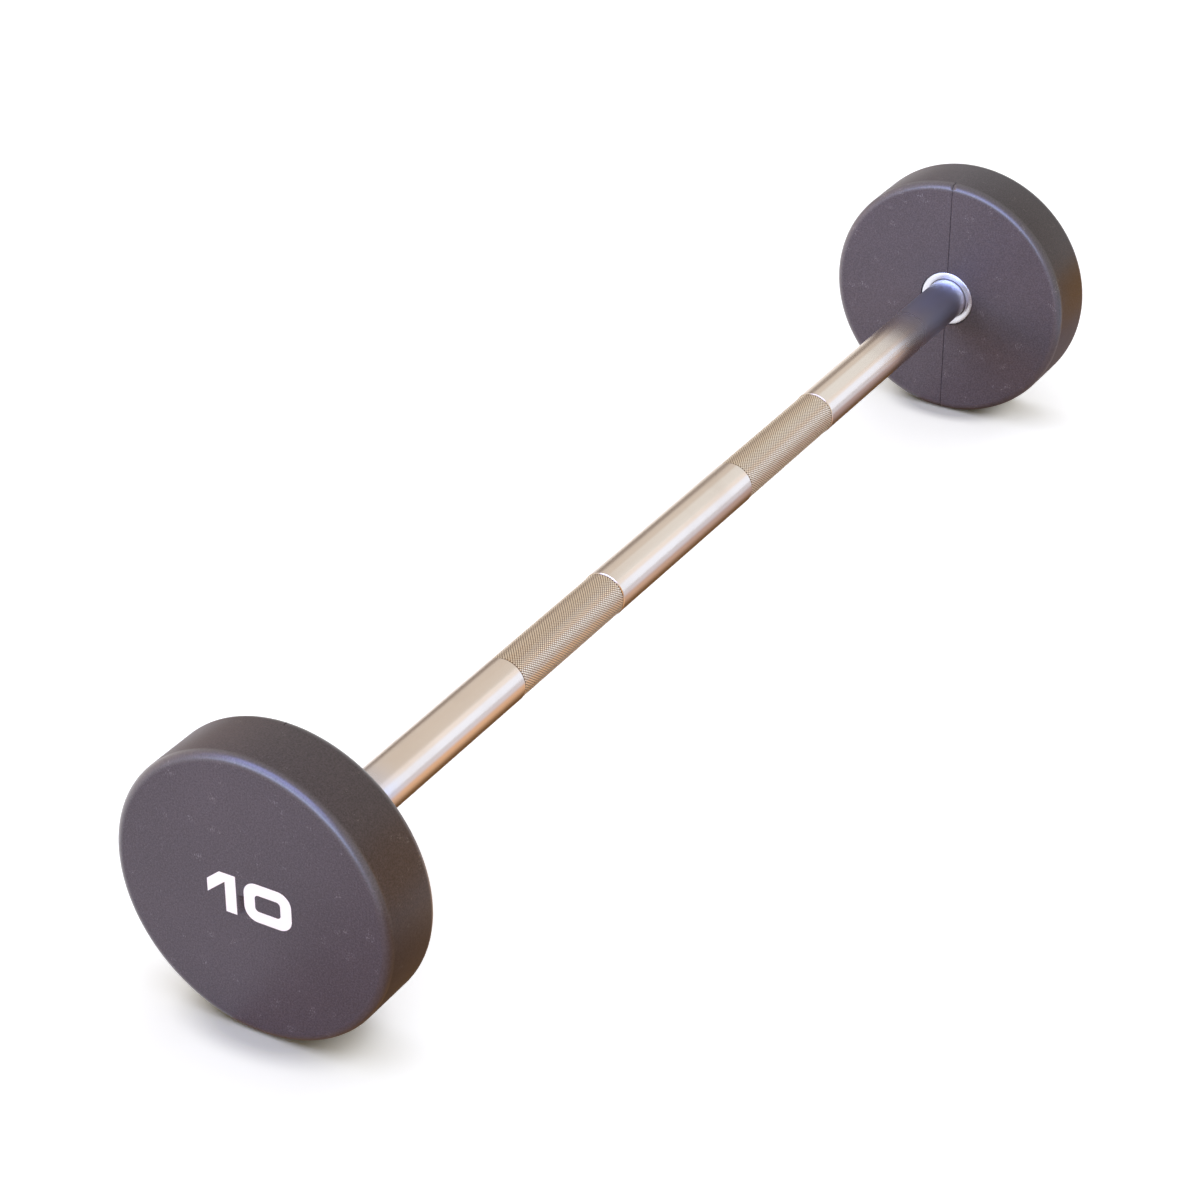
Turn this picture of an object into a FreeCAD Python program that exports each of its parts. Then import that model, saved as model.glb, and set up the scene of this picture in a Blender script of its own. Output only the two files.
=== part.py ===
import FreeCAD, Part
import os
import Sketcher

# A fixed barbell: a straight steel bar with a urethane covered steel head on each end.
# The bar lies along X with its middle at the origin, and Z is up.
# A head is drawn in its own frame: X runs outwards from the middle of the head's inner face.

# Driving sizes in millimetres, but for the counts and angles
DRIVING_SIZES = {
    "overall_length": 924,
    "bar_diameter": 30,
    "grip_gap": 168,
    "grip_length": 118,
    "grip_drop": 0.3,
    "grip_bevel": 0.6,
    "spigot_diameter": 22,
    "spigot_bevel": 1,
    "head_diameter": 180,
    "head_thickness": 46,
    "head_edge_radius": 5,
    "outer_skin": 5,
    "seam_width": 0.6,
    "seam_depth": 0.5,
    "seam_run": 1,
    "collar_sink": 0.8,
    "collar_width": 8,
    "collar_wall": 5.4,
    "collar_bevel": 0.7,
    "collar_fit": 0.05,
    "collar_seat_clearance": 0.2,
    "core_plate_diameter": 120,
    "core_plate_thickness": 16,
    "core_fit": 0.03,
    "hub_wall": 8,
    "lock_hole_diameter": 12,
    "lock_hole_count": 6,
    "key_width": 6,
    "key_height": 6,
    "key_sink": 3.5,
    "key_end_gap": 1,
    "key_clearance": 0.1,
    "clamp_clearance": 0.5,
    "washer_diameter": 37,
    "washer_thickness": 3,
    "washer_clearance": 0.5,
    "lock_washer_diameter": 21,
    "lock_washer_thickness": 2.5,
    "lock_washer_slit": 2,
    "bolt_diameter": 12,
    "bolt_length": 35,
    "bolt_tip_bevel": 1.2,
    "bolt_hole_clearance": 0.5,
    "bolt_head_diameter": 18,
    "bolt_head_height": 12,
    "bolt_head_bevel": 0.8,
    "socket_width": 10,
    "socket_depth": 6,
    "thread_clearance": 0.02,
    "tapped_spare_depth": 4,
    "drill_point_angle": 118,
    "plug_thickness": 2,
    "plug_fit": 0.05,
    "plug_clearance": 0.7,
    "plug_bevel": 0.4,
    "digit_depth": 0.8,
    "digit_height": 25,
    "digit_gap": 5.2,
    "digit_stroke": 7.2,
    "one_width": 19,
    "one_top_width": 10.5,
    "one_flag_fall": 7.2,
    "one_flag_depth": 8.5,
    "zero_width": 31,
    "zero_corner": 8.5,
    "zero_counter_corner": 2.5,
    "cut_overrun": 1,
}

# Turns in degrees, and the sides of a bolt's socket
FULL_TURN = 360
HALF_TURN = 180
HEXAGON_SIDES = 6

document = FreeCAD.newDocument("fixed_barbell")
sheet = document.addObject("Spreadsheet::Sheet", "sizes")
for row, (alias, value) in enumerate(DRIVING_SIZES.items(), start=1):
    sheet.set("A%d" % row, alias)
    sheet.set("B%d" % row, str(value))
    sheet.setAlias("B%d" % row, alias)
document.recompute()


def size(alias):
    """The name by which an expression reads one driving size."""
    return "sizes." + alias


def total(*terms):
    """The sum of several sizes or places, as an expression."""
    return "(" + " + ".join(terms) + ")"


def less(first, *others):
    """The first size or place less all the others, as an expression."""
    return "(" + " - ".join((first,) + others) + ")"


def half(term):
    """Half of a size or place, as an expression."""
    return "(%s / 2)" % term


def minus(term):
    """A size or place on the other side of zero, as an expression."""
    return "(0 - %s)" % term


# Radii and places that several pieces share
BAR_RADIUS = half(size("bar_diameter"))
SPIGOT_RADIUS = half(size("spigot_diameter"))
HEAD_RADIUS = half(size("head_diameter"))
HEAD_INNER_FACE = less(half(size("overall_length")), size("head_thickness"))
CORE_START = total(size("collar_sink"), size("collar_width"))
CORE_END = less(size("head_thickness"), size("outer_skin"))
PLATE_RADIUS = half(size("core_plate_diameter"))
PLATE_END = total(CORE_START, size("core_plate_thickness"))
COLLAR_RADIUS = total(BAR_RADIUS, size("collar_fit"), size("collar_wall"))
COLLAR_SEAT_RADIUS = total(COLLAR_RADIUS, size("collar_seat_clearance"))
RECESS_RADIUS = total(half(size("washer_diameter")), size("washer_clearance"))
HUB_RADIUS = total(RECESS_RADIUS, size("hub_wall"))
PLUG_START = less(CORE_END, size("plug_thickness"))
BOLT_HEAD_END = less(PLUG_START, size("plug_clearance"))
BOLT_HEAD_START = less(BOLT_HEAD_END, size("bolt_head_height"))
LOCK_WASHER_START = less(BOLT_HEAD_START, size("lock_washer_thickness"))
WASHER_START = less(LOCK_WASHER_START, size("washer_thickness"))
SPIGOT_END = less(WASHER_START, size("clamp_clearance"))
BOLT_TIP = less(BOLT_HEAD_START, size("bolt_length"))
TAPPED_DEPTH = total(less(SPIGOT_END, BOLT_TIP), size("tapped_spare_depth"))
BOLT_HOLE_RADIUS = total(half(size("bolt_diameter")), size("bolt_hole_clearance"))
LOCK_CIRCLE_RADIUS = half(total(HUB_RADIUS, PLATE_RADIUS))
KEY_START = total(CORE_START, size("key_end_gap"))
KEY_END = less(SPIGOT_END, size("key_end_gap"))
KEY_FLOOR = less(SPIGOT_RADIUS, size("key_sink"))
KEY_TOP = total(KEY_FLOOR, size("key_height"))
NUMBER_WIDTH = total(size("one_width"), size("digit_gap"), size("zero_width"))
DIGIT_FLOOR = less(size("head_thickness"), size("digit_depth"))


def worth(expression):
    """The number that an expression comes to now."""
    value = sheet.evalExpression(expression)
    return float(getattr(value, "Value", value))


def new_body(name):
    body = document.addObject("PartDesign::Body", name)
    body.Label = name
    return body


def origin_part(body, role):
    """One of the body's own axes or base planes."""
    return next(item for item in body.Origin.OriginFeatures if item.Role == role)


def new_sketch(body, name, plane, height=None):
    """A sketch on one of the body's base planes, or at a height above it."""
    sketch = body.newObject("Sketcher::SketchObject", body.Name + "_" + name)
    sketch.AttachmentSupport = (origin_part(body, plane), [""])
    sketch.MapMode = "FlatFace"
    if height is not None:
        sketch.setExpression("AttachmentOffset.Base.z", height)
    document.recompute()
    return sketch


def hold(sketch, direction, geometry, point, expression):
    """Ties one coordinate of a point to an expression, or to an axis where it is zero."""
    if expression == "0":
        axis = -2 if direction == "DistanceX" else -1
        sketch.addConstraint(Sketcher.Constraint("PointOnObject", geometry, point, axis))
        return
    constraint = Sketcher.Constraint(direction, -1, 1, geometry, point, worth(expression))
    index = sketch.addConstraint(constraint)
    sketch.setExpression("Constraints[%d]" % index, expression)


def draw_outline(sketch, corners):
    """Draws a closed outline of lines. A corner is (x, y), or (x, y, radius) where it is rounded.

    A rounded corner lies between lines that run along the sketch's axes.
    """
    count = len(corners)
    places = [FreeCAD.Vector(worth(corner[0]), worth(corner[1]), 0) for corner in corners]
    arrive = list(places)
    leave = list(places)
    for index, corner in enumerate(corners):
        if len(corner) == 3:
            radius = worth(corner[2])
            backward = (places[index - 1] - places[index]).normalize()
            forward = (places[(index + 1) % count] - places[index]).normalize()
            arrive[index] = places[index] + backward * radius
            leave[index] = places[index] + forward * radius
    lines = []
    for index in range(count):
        after = (index + 1) % count
        lines.append(sketch.addGeometry(Part.LineSegment(leave[index], arrive[after]), False))
    for index, corner in enumerate(corners):
        if len(corner) == 3:
            round_corner(sketch, corner, lines[index - 1], lines[index], arrive[index], leave[index])
        else:
            joint = Sketcher.Constraint("Coincident", lines[index - 1], 2, lines[index], 1)
            sketch.addConstraint(joint)
            hold(sketch, "DistanceX", lines[index], 1, corner[0])
            hold(sketch, "DistanceY", lines[index], 1, corner[1])
    for index in range(count):
        after = (index + 1) % count
        keep_line_square(sketch, lines[index], corners[index], corners[after])


def round_corner(sketch, corner, line_in, line_out, start, end):
    """Joins two lines by an arc of the corner's radius that is tangent to both."""
    turn = FreeCAD.Vector(worth(corner[0]), worth(corner[1]), 0)
    radius = worth(corner[2])
    centre = start + end - turn
    middle = centre + (turn - centre).normalize() * radius
    arc = sketch.addGeometry(Part.Arc(start, middle, end), False)
    left_turn = (turn - start).cross(end - turn).z > 0
    first, last = (1, 2) if left_turn else (2, 1)
    sketch.addConstraint(Sketcher.Constraint("Tangent", line_in, 2, arc, first))
    sketch.addConstraint(Sketcher.Constraint("Tangent", arc, last, line_out, 1))
    index = sketch.addConstraint(Sketcher.Constraint("Radius", arc, radius))
    sketch.setExpression("Constraints[%d]" % index, corner[2])


def keep_line_square(sketch, line, corner, next_corner):
    """Holds a line that ends on a rounded corner along its axis, and in its place."""
    rounded = [len(corner) == 3, len(next_corner) == 3]
    if not any(rounded):
        return
    upright = corner[0] == next_corner[0]
    sketch.addConstraint(Sketcher.Constraint("Vertical" if upright else "Horizontal", line))
    if all(rounded):
        direction = "DistanceX" if upright else "DistanceY"
        hold(sketch, direction, line, 1, corner[0] if upright else corner[1])


def draw_circle(sketch, x, y, radius):
    centre = FreeCAD.Vector(worth(x), worth(y), 0)
    circle = sketch.addGeometry(Part.Circle(centre, FreeCAD.Vector(0, 0, 1), worth(radius)), False)
    if x == "0" and y == "0":
        sketch.addConstraint(Sketcher.Constraint("Coincident", circle, 3, -1, 1))
    else:
        hold(sketch, "DistanceX", circle, 3, x)
        hold(sketch, "DistanceY", circle, 3, y)
    index = sketch.addConstraint(Sketcher.Constraint("Radius", circle, worth(radius)))
    sketch.setExpression("Constraints[%d]" % index, radius)


def revolve(body, name, corners):
    """Turns a half outline, drawn in X and Z, about the X axis."""
    sketch = new_sketch(body, name + "_outline", "XZ_Plane")
    draw_outline(sketch, corners)
    feature = body.newObject("PartDesign::Revolution", body.Name + "_" + name)
    feature.Profile = sketch
    feature.ReferenceAxis = (sketch, ["H_Axis"])
    feature.Angle = FULL_TURN
    document.recompute()
    return feature


def pad(body, name, sketch, length):
    feature = body.newObject("PartDesign::Pad", body.Name + "_" + name)
    feature.Profile = sketch
    feature.setExpression("Length", length)
    document.recompute()
    return feature


def pocket(body, name, sketch, length, both_sides=False):
    """Cuts a sketch's outline into the body, and stops if it took nothing away."""
    before = body.Shape.Volume
    feature = body.newObject("PartDesign::Pocket", body.Name + "_" + name)
    feature.Profile = sketch
    feature.SideType = "Symmetric" if both_sides else "One side"
    feature.setExpression("Length", length)
    document.recompute()
    if not feature.Shape.Volume < before:
        raise RuntimeError("%s cut nothing" % feature.Name)
    return feature


def repeat_round_axis(body, name, feature, count):
    """Repeats one feature evenly round the X axis."""
    pattern = body.newObject("PartDesign::PolarPattern", body.Name + "_" + name)
    pattern.Originals = [feature]
    pattern.Axis = (origin_part(body, "X_Axis"), [""])
    pattern.Angle = FULL_TURN
    pattern.setExpression("Occurrences", count)
    body.Tip = pattern
    document.recompute()
    return pattern


def make_bar():
    """The bar: half of it is turned, drilled and keyed, and then mirrored about its middle."""
    body = new_body("bar")
    grip_start = half(size("grip_gap"))
    grip_end = total(grip_start, size("grip_length"))
    grip_radius = less(BAR_RADIUS, size("grip_drop"))
    shoulder = total(HEAD_INNER_FACE, CORE_START)
    spigot_end = total(HEAD_INNER_FACE, SPIGOT_END)
    turned = revolve(body, "half", [
        ("0", "0"),
        ("0", BAR_RADIUS),
        (grip_start, BAR_RADIUS),
        (total(grip_start, size("grip_bevel")), grip_radius),
        (less(grip_end, size("grip_bevel")), grip_radius),
        (grip_end, BAR_RADIUS),
        (shoulder, BAR_RADIUS),
        (shoulder, SPIGOT_RADIUS),
        (less(spigot_end, size("spigot_bevel")), SPIGOT_RADIUS),
        (spigot_end, less(SPIGOT_RADIUS, size("spigot_bevel"))),
        (spigot_end, "0"),
    ])
    mouth = new_sketch(body, "tapped_hole_mouth", "YZ_Plane", spigot_end)
    tapped_radius = total(half(size("bolt_diameter")), size("thread_clearance"))
    draw_circle(mouth, "0", "0", tapped_radius)
    document.recompute()
    hole = body.newObject("PartDesign::Hole", "bar_tapped_hole")
    hole.Profile = mouth
    hole.DepthType = "Dimension"
    hole.DrillPoint = "Angled"
    hole.setExpression("Diameter", "2 * " + tapped_radius)
    hole.setExpression("Depth", TAPPED_DEPTH)
    hole.setExpression("DrillPointAngle", size("drill_point_angle"))
    document.recompute()
    if not hole.Shape.Volume < turned.Shape.Volume:
        raise RuntimeError("the tapped hole cut nothing")
    top = total(SPIGOT_RADIUS, size("cut_overrun"))
    slot = new_sketch(body, "keyway_outline", "XY_Plane", top)
    key_start = total(HEAD_INNER_FACE, KEY_START)
    key_end = total(HEAD_INNER_FACE, KEY_END)
    draw_outline(slot, rectangle(key_start, key_end, half(size("key_width"))))
    keyway = pocket(body, "keyway", slot, total(size("key_sink"), size("cut_overrun")))
    mirror = body.newObject("PartDesign::Mirrored", "bar_other_half")
    mirror.Originals = [turned, hole, keyway]
    mirror.MirrorPlane = (origin_part(body, "YZ_Plane"), [""])
    body.Tip = mirror
    document.recompute()
    return body


def rectangle(start, end, half_width):
    """Corners of a rectangle along the sketch's first axis, as wide on each side of it."""
    return [
        (start, minus(half_width)),
        (end, minus(half_width)),
        (end, half_width),
        (start, half_width),
    ]


def make_collar(side):
    """The ring pressed over the bar where it enters the head."""
    body = new_body(side + "_collar")
    bore = total(BAR_RADIUS, size("collar_fit"))
    revolve(body, "ring", [
        (size("collar_sink"), bore),
        (size("collar_sink"), less(COLLAR_RADIUS, size("collar_bevel"))),
        (total(size("collar_sink"), size("collar_bevel")), COLLAR_RADIUS),
        (CORE_START, COLLAR_RADIUS),
        (CORE_START, bore),
    ])
    return body


def lock_circle(body, name, height):
    """A circle at the place of the first hole in the core's plate."""
    sketch = new_sketch(body, name, "YZ_Plane", height)
    draw_circle(sketch, "0", LOCK_CIRCLE_RADIUS, half(size("lock_hole_diameter")))
    return sketch


def make_core(side):
    """The steel disc and hub that carries the head's weight and its fastening."""
    body = new_body(side + "_core")
    bore = total(SPIGOT_RADIUS, size("core_fit"))
    revolve(body, "disc", [
        (CORE_START, bore),
        (CORE_START, PLATE_RADIUS),
        (PLATE_END, PLATE_RADIUS),
        (PLATE_END, HUB_RADIUS),
        (CORE_END, HUB_RADIUS),
        (CORE_END, RECESS_RADIUS),
        (WASHER_START, RECESS_RADIUS),
        (WASHER_START, bore),
    ])
    key_roof = total(KEY_TOP, size("key_clearance"))
    slot = new_sketch(body, "keyway_outline", "XY_Plane", key_roof)
    key_start = less(CORE_START, size("cut_overrun"))
    draw_outline(slot, rectangle(key_start, WASHER_START, half(size("key_width"))))
    pocket(body, "keyway", slot, key_roof)
    holes = lock_circle(body, "lock_hole_outline", total(PLATE_END, size("cut_overrun")))
    depth = total(size("core_plate_thickness"), size("cut_overrun"), size("cut_overrun"))
    hole = pocket(body, "lock_hole", holes, depth)
    repeat_round_axis(body, "lock_holes", hole, size("lock_hole_count"))
    return body


def one_corners():
    """The digit 1: an upright stroke with a flag that slopes down to the left."""
    top = half(size("digit_height"))
    left = minus(half(NUMBER_WIDTH))
    right = total(left, size("one_width"))
    stem_left = less(right, size("digit_stroke"))
    flag_low = less(top, size("one_flag_fall"), size("one_flag_depth"))
    slope = "(%s / %s)" % (size("one_flag_fall"), less(size("one_width"), size("one_top_width")))
    flag_rise = "(%s * %s)" % (less(size("one_width"), size("digit_stroke")), slope)
    return [
        (right, minus(top)),
        (right, top),
        (less(right, size("one_top_width")), top),
        (left, less(top, size("one_flag_fall"))),
        (left, flag_low),
        (stem_left, total(flag_low, flag_rise)),
        (stem_left, minus(top)),
    ]


def zero_corners():
    """The outer outline and the counter of the digit 0, both rounded rectangles."""
    top = half(size("digit_height"))
    right = half(NUMBER_WIDTH)
    left = less(right, size("zero_width"))
    stroke = size("digit_stroke")
    return [
        rounded_rectangle(left, right, top, size("zero_corner")),
        rounded_rectangle(
            total(left, stroke), less(right, stroke), less(top, stroke), size("zero_counter_corner")
        ),
    ]


def rounded_rectangle(left, right, top, radius):
    return [
        (left, minus(top), radius),
        (right, minus(top), radius),
        (right, top, radius),
        (left, top, radius),
    ]


DIGITS = {
    "one": [one_corners()],
    "zero": zero_corners(),
}


def digit_sketch(body, digit, height):
    sketch = new_sketch(body, digit + "_outline", "YZ_Plane", height)
    for corners in DIGITS[digit]:
        draw_outline(sketch, corners)
    return sketch


def make_digit(side, digit):
    """One digit of the weight number, filling its pocket in the head's outer face."""
    body = new_body(side + "_digit_" + digit)
    pad(body, "infill", digit_sketch(body, digit, DIGIT_FLOOR), size("digit_depth"))
    return body


def make_casing(side):
    """The urethane head, moulded over the core and up to the plug and the collar's seat."""
    body = new_body(side + "_casing")
    edge = size("head_edge_radius")
    revolve(body, "moulding", [
        ("0", COLLAR_SEAT_RADIUS),
        ("0", HEAD_RADIUS, edge),
        (size("head_thickness"), HEAD_RADIUS, edge),
        (size("head_thickness"), "0"),
        (CORE_END, "0"),
        (CORE_END, HUB_RADIUS),
        (PLATE_END, HUB_RADIUS),
        (PLATE_END, PLATE_RADIUS),
        (CORE_START, PLATE_RADIUS),
        (CORE_START, COLLAR_SEAT_RADIUS),
    ])
    circle = lock_circle(body, "lock_post_outline", less(CORE_START, size("cut_overrun")))
    length = total(size("core_plate_thickness"), size("cut_overrun"), size("cut_overrun"))
    post = pad(body, "lock_post", circle, length)
    repeat_round_axis(body, "lock_posts", post, size("lock_hole_count"))
    strip = new_sketch(body, "seam_outline", "XZ_Plane")
    draw_outline(strip, seam_corners())
    pocket(body, "seam", strip, size("seam_width"), both_sides=True)
    for digit in DIGITS:
        outer = total(size("head_thickness"), size("cut_overrun"))
        outline = digit_sketch(body, digit, outer)
        pocket(body, digit + "_pocket", outline, total(size("digit_depth"), size("cut_overrun")))
    return body


def seam_corners():
    """The strip that the mould's parting line takes off the inner face and its rounded edge."""
    outside = minus(size("cut_overrun"))
    floor = size("seam_depth")
    end = total(size("head_edge_radius"), size("seam_run"))
    reach = total(HEAD_RADIUS, size("cut_overrun"))
    floor_reach = less(HEAD_RADIUS, floor)
    bend = less(size("head_edge_radius"), floor)
    return [
        (outside, minus(reach)),
        (end, minus(reach)),
        (end, minus(floor_reach)),
        (floor, minus(floor_reach), bend),
        (floor, floor_reach, bend),
        (end, floor_reach),
        (end, reach),
        (outside, reach),
    ]


def make_key(side):
    """The parallel key that stops the head from turning on the spigot."""
    body = new_body(side + "_key")
    sketch = new_sketch(body, "outline", "XY_Plane", KEY_FLOOR)
    draw_outline(sketch, rectangle(KEY_START, KEY_END, half(size("key_width"))))
    pad(body, "block", sketch, size("key_height"))
    return body


def make_washer(side):
    """The plain washer that clamps the core against the bar's shoulder."""
    body = new_body(side + "_washer")
    sketch = new_sketch(body, "outline", "YZ_Plane", WASHER_START)
    draw_circle(sketch, "0", "0", half(size("washer_diameter")))
    draw_circle(sketch, "0", "0", BOLT_HOLE_RADIUS)
    pad(body, "disc", sketch, size("washer_thickness"))
    return body


def make_lock_washer(side):
    """The spring washer under the bolt's head, pressed flat, with its slit on top."""
    body = new_body(side + "_lock_washer")
    sketch = new_sketch(body, "outline", "YZ_Plane", LOCK_WASHER_START)
    radius = half(size("lock_washer_diameter"))
    draw_circle(sketch, "0", "0", radius)
    draw_circle(sketch, "0", "0", BOLT_HOLE_RADIUS)
    pad(body, "ring", sketch, size("lock_washer_thickness"))
    slit = new_sketch(body, "slit_outline", "XY_Plane", total(radius, size("cut_overrun")))
    start = less(LOCK_WASHER_START, size("cut_overrun"))
    end = total(BOLT_HEAD_START, size("cut_overrun"))
    draw_outline(slit, rectangle(start, end, half(size("lock_washer_slit"))))
    pocket(body, "slit", slit, total(radius, size("cut_overrun")))
    return body


def hexagon(flat_distance):
    """Corners of a hexagon about the sketch's origin, with flats this far from its middle."""
    half_side = HALF_TURN / HEXAGON_SIDES
    reach = "%s / cos(%g)" % (flat_distance, half_side)
    angles = [half_side * (2 * side + 1) for side in range(HEXAGON_SIDES)]
    return [
        ("(%s * sin(%g))" % (reach, angle), "(%s * cos(%g))" % (reach, angle))
        for angle in angles
    ]


def make_bolt(side):
    """The socket cap screw that holds the head on the bar."""
    body = new_body(side + "_bolt")
    shank = half(size("bolt_diameter"))
    head = half(size("bolt_head_diameter"))
    revolve(body, "screw", [
        (BOLT_TIP, "0"),
        (BOLT_TIP, less(shank, size("bolt_tip_bevel"))),
        (total(BOLT_TIP, size("bolt_tip_bevel")), shank),
        (BOLT_HEAD_START, shank),
        (BOLT_HEAD_START, head),
        (less(BOLT_HEAD_END, size("bolt_head_bevel")), head),
        (BOLT_HEAD_END, less(head, size("bolt_head_bevel"))),
        (BOLT_HEAD_END, "0"),
    ])
    socket = new_sketch(body, "socket_outline", "YZ_Plane", BOLT_HEAD_END)
    draw_outline(socket, hexagon(half(size("socket_width"))))
    pocket(body, "socket", socket, size("socket_depth"))
    return body


def make_plug(side):
    """The disc that closes the bolt recess before the urethane is moulded over it."""
    body = new_body(side + "_plug")
    radius = less(RECESS_RADIUS, size("plug_fit"))
    revolve(body, "disc", [
        (PLUG_START, "0"),
        (PLUG_START, less(radius, size("plug_bevel"))),
        (total(PLUG_START, size("plug_bevel")), radius),
        (CORE_END, radius),
        (CORE_END, "0"),
    ])
    return body


def place_head(body, side):
    """Puts a piece of a head in its place: the left head is the right one turned about Z."""
    inner_face = HEAD_INNER_FACE
    if side == "left":
        body.Placement = FreeCAD.Placement(FreeCAD.Vector(), FreeCAD.Rotation(HALF_TURN, 0, 0))
        inner_face = minus(HEAD_INNER_FACE)
    body.setExpression("Placement.Base.x", inner_face)


def make_head(side):
    pieces = [
        make_collar(side),
        make_core(side),
        make_casing(side),
        make_key(side),
        make_washer(side),
        make_lock_washer(side),
        make_bolt(side),
        make_plug(side),
    ]
    pieces += [make_digit(side, digit) for digit in DIGITS]
    for piece in pieces:
        place_head(piece, side)
    return pieces


def check_document():
    """Stops on any object that failed to build."""
    for item in document.Objects:
        if "Invalid" in item.State or "Error" in item.State:
            raise RuntimeError("%s failed: %s" % (item.Name, item.State))


def check_piece(piece):
    """Stops on a piece that isn't one valid solid."""
    shape = piece.Shape
    if shape.isNull() or not shape.isValid():
        raise RuntimeError("%s has no valid shape" % piece.Label)
    if len(shape.Solids) != 1:
        raise RuntimeError("%s has %d solids" % (piece.Label, len(shape.Solids)))


pieces = [make_bar()]
for head_side in ("left", "right"):
    pieces += make_head(head_side)
document.recompute()

check_document()
for piece in pieces:
    check_piece(piece)

os.makedirs("parts", exist_ok=True)
for piece in pieces:
    box = piece.Shape.optimalBoundingBox()
    piece.Shape.exportStep(os.path.join("parts", piece.Label + ".step"))
    print("%-20s %10.1f mm3   x %8.2f to %8.2f   z %7.2f to %7.2f" % (
        piece.Label, piece.Shape.Volume, box.XMin, box.XMax, box.ZMin, box.ZMax
    ))
print("%d pieces" % len(pieces))
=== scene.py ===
# %% [markdown]
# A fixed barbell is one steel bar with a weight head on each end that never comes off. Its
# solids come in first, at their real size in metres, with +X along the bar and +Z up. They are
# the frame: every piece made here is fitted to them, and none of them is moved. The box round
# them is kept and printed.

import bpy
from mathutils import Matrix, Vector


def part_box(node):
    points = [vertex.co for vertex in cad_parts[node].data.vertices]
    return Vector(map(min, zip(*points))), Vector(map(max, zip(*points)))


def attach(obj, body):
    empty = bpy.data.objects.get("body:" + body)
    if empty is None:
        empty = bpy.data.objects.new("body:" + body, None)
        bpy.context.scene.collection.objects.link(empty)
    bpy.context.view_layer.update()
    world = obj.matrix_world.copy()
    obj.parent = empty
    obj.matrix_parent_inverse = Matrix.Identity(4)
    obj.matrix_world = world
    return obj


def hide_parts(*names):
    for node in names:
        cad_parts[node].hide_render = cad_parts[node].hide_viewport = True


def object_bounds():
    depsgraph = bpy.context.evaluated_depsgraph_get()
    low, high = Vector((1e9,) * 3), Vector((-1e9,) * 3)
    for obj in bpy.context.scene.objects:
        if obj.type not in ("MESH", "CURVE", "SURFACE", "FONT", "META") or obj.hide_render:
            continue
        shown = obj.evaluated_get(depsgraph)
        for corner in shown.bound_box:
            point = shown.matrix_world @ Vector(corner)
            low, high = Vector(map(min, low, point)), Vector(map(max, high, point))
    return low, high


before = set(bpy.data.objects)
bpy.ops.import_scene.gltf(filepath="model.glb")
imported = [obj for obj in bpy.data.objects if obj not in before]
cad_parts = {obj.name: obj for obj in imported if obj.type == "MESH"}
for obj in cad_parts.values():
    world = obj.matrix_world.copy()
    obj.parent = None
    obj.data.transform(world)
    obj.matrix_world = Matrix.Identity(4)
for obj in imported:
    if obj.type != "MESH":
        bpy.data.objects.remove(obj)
cad_low, cad_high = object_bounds()
cad_size = cad_high - cad_low
print("solids:", len(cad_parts), "box in mm:", [round(1000 * side) for side in cad_size])

# %% [markdown]
# Blender works in metres. Small sizes are easier to read in millimetres, so they are written as
# a number times MM. Two places that are closer together than TINY count as one.

# %% Imports and units
import math

import bmesh
import bpy
from mathutils import Vector

MM = 0.001
TINY = 0.001 * MM


# %% [markdown]
# Most modelling steps below are the ones used by hand: add a primitive, enter edit mode, select
# some faces or edges, and run an operator on them. A few helpers keep those steps short. Each
# one first drops the old selection, because an operator acts on everything that is selected.

# %% Helpers for objects
def clear_selection():
    bpy.ops.object.select_all(action="DESELECT")


def make_active(*pieces):
    """Selects these pieces alone, and makes the first one the active one."""
    clear_selection()
    for piece in pieces:
        piece.select_set(True)
    bpy.context.view_layer.objects.active = pieces[0]


def settle(name):
    """Names the new piece and moves its place, turn and scale into its mesh."""
    piece = bpy.context.active_object
    piece.name = name
    piece.data.name = name
    bpy.ops.object.transform_apply(location=True, rotation=True, scale=True)
    return piece


def add_cylinder(name, sides, radius, start, end, caps="NGON"):
    """A cylinder round the X axis from one place on it to another, with its place in its mesh."""
    clear_selection()
    bpy.ops.mesh.primitive_cylinder_add(
        vertices=sides, radius=radius, depth=end - start, end_fill_type=caps,
        location=((start + end) / 2, 0, 0), rotation=(0, math.pi / 2, 0),
    )
    return settle(name)


def add_box(name, low, high):
    """A box between its lowest and its highest corner."""
    clear_selection()
    bpy.ops.mesh.primitive_cube_add(size=1, location=(low + high) / 2, scale=high - low)
    return settle(name)


def apply_modifier(piece, kind, **settings):
    """Adds a modifier with these settings to the piece, and applies it at once."""
    make_active(piece)
    bpy.ops.object.modifier_add(type=kind)
    modifier = piece.modifiers[-1]
    for setting, value in settings.items():
        setattr(modifier, setting, value)
    bpy.ops.object.modifier_apply(modifier=modifier.name)


def cut(piece, cutter):
    """Takes the cutter's space out of the piece, and deletes the cutter."""
    apply_modifier(piece, "BOOLEAN", operation="DIFFERENCE", solver="EXACT", object=cutter)
    bpy.data.objects.remove(cutter)


# %% Helpers for edit mode
SHARP_ANGLE = math.radians(30)
SQUARE_ON = 0.99


def start_edit(piece):
    make_active(piece)
    bpy.ops.object.mode_set(mode="EDIT")


def end_edit():
    bpy.ops.object.mode_set(mode="OBJECT")


def pick(kind, test):
    """Selects the faces or edges of the edited piece for which the test holds, and counts them."""
    bpy.ops.mesh.select_mode(type=kind)
    bpy.ops.mesh.select_all(action="DESELECT")
    data = bpy.context.active_object.data
    mesh = bmesh.from_edit_mesh(data)
    items = mesh.faces if kind == "FACE" else mesh.edges
    chosen = [item for item in items if test(item)]
    for item in chosen:
        item.select_set(True)
    bmesh.update_edit_mesh(data)
    if not chosen:
        raise RuntimeError("nothing was picked on " + bpy.context.active_object.name)
    return len(chosen)


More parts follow.
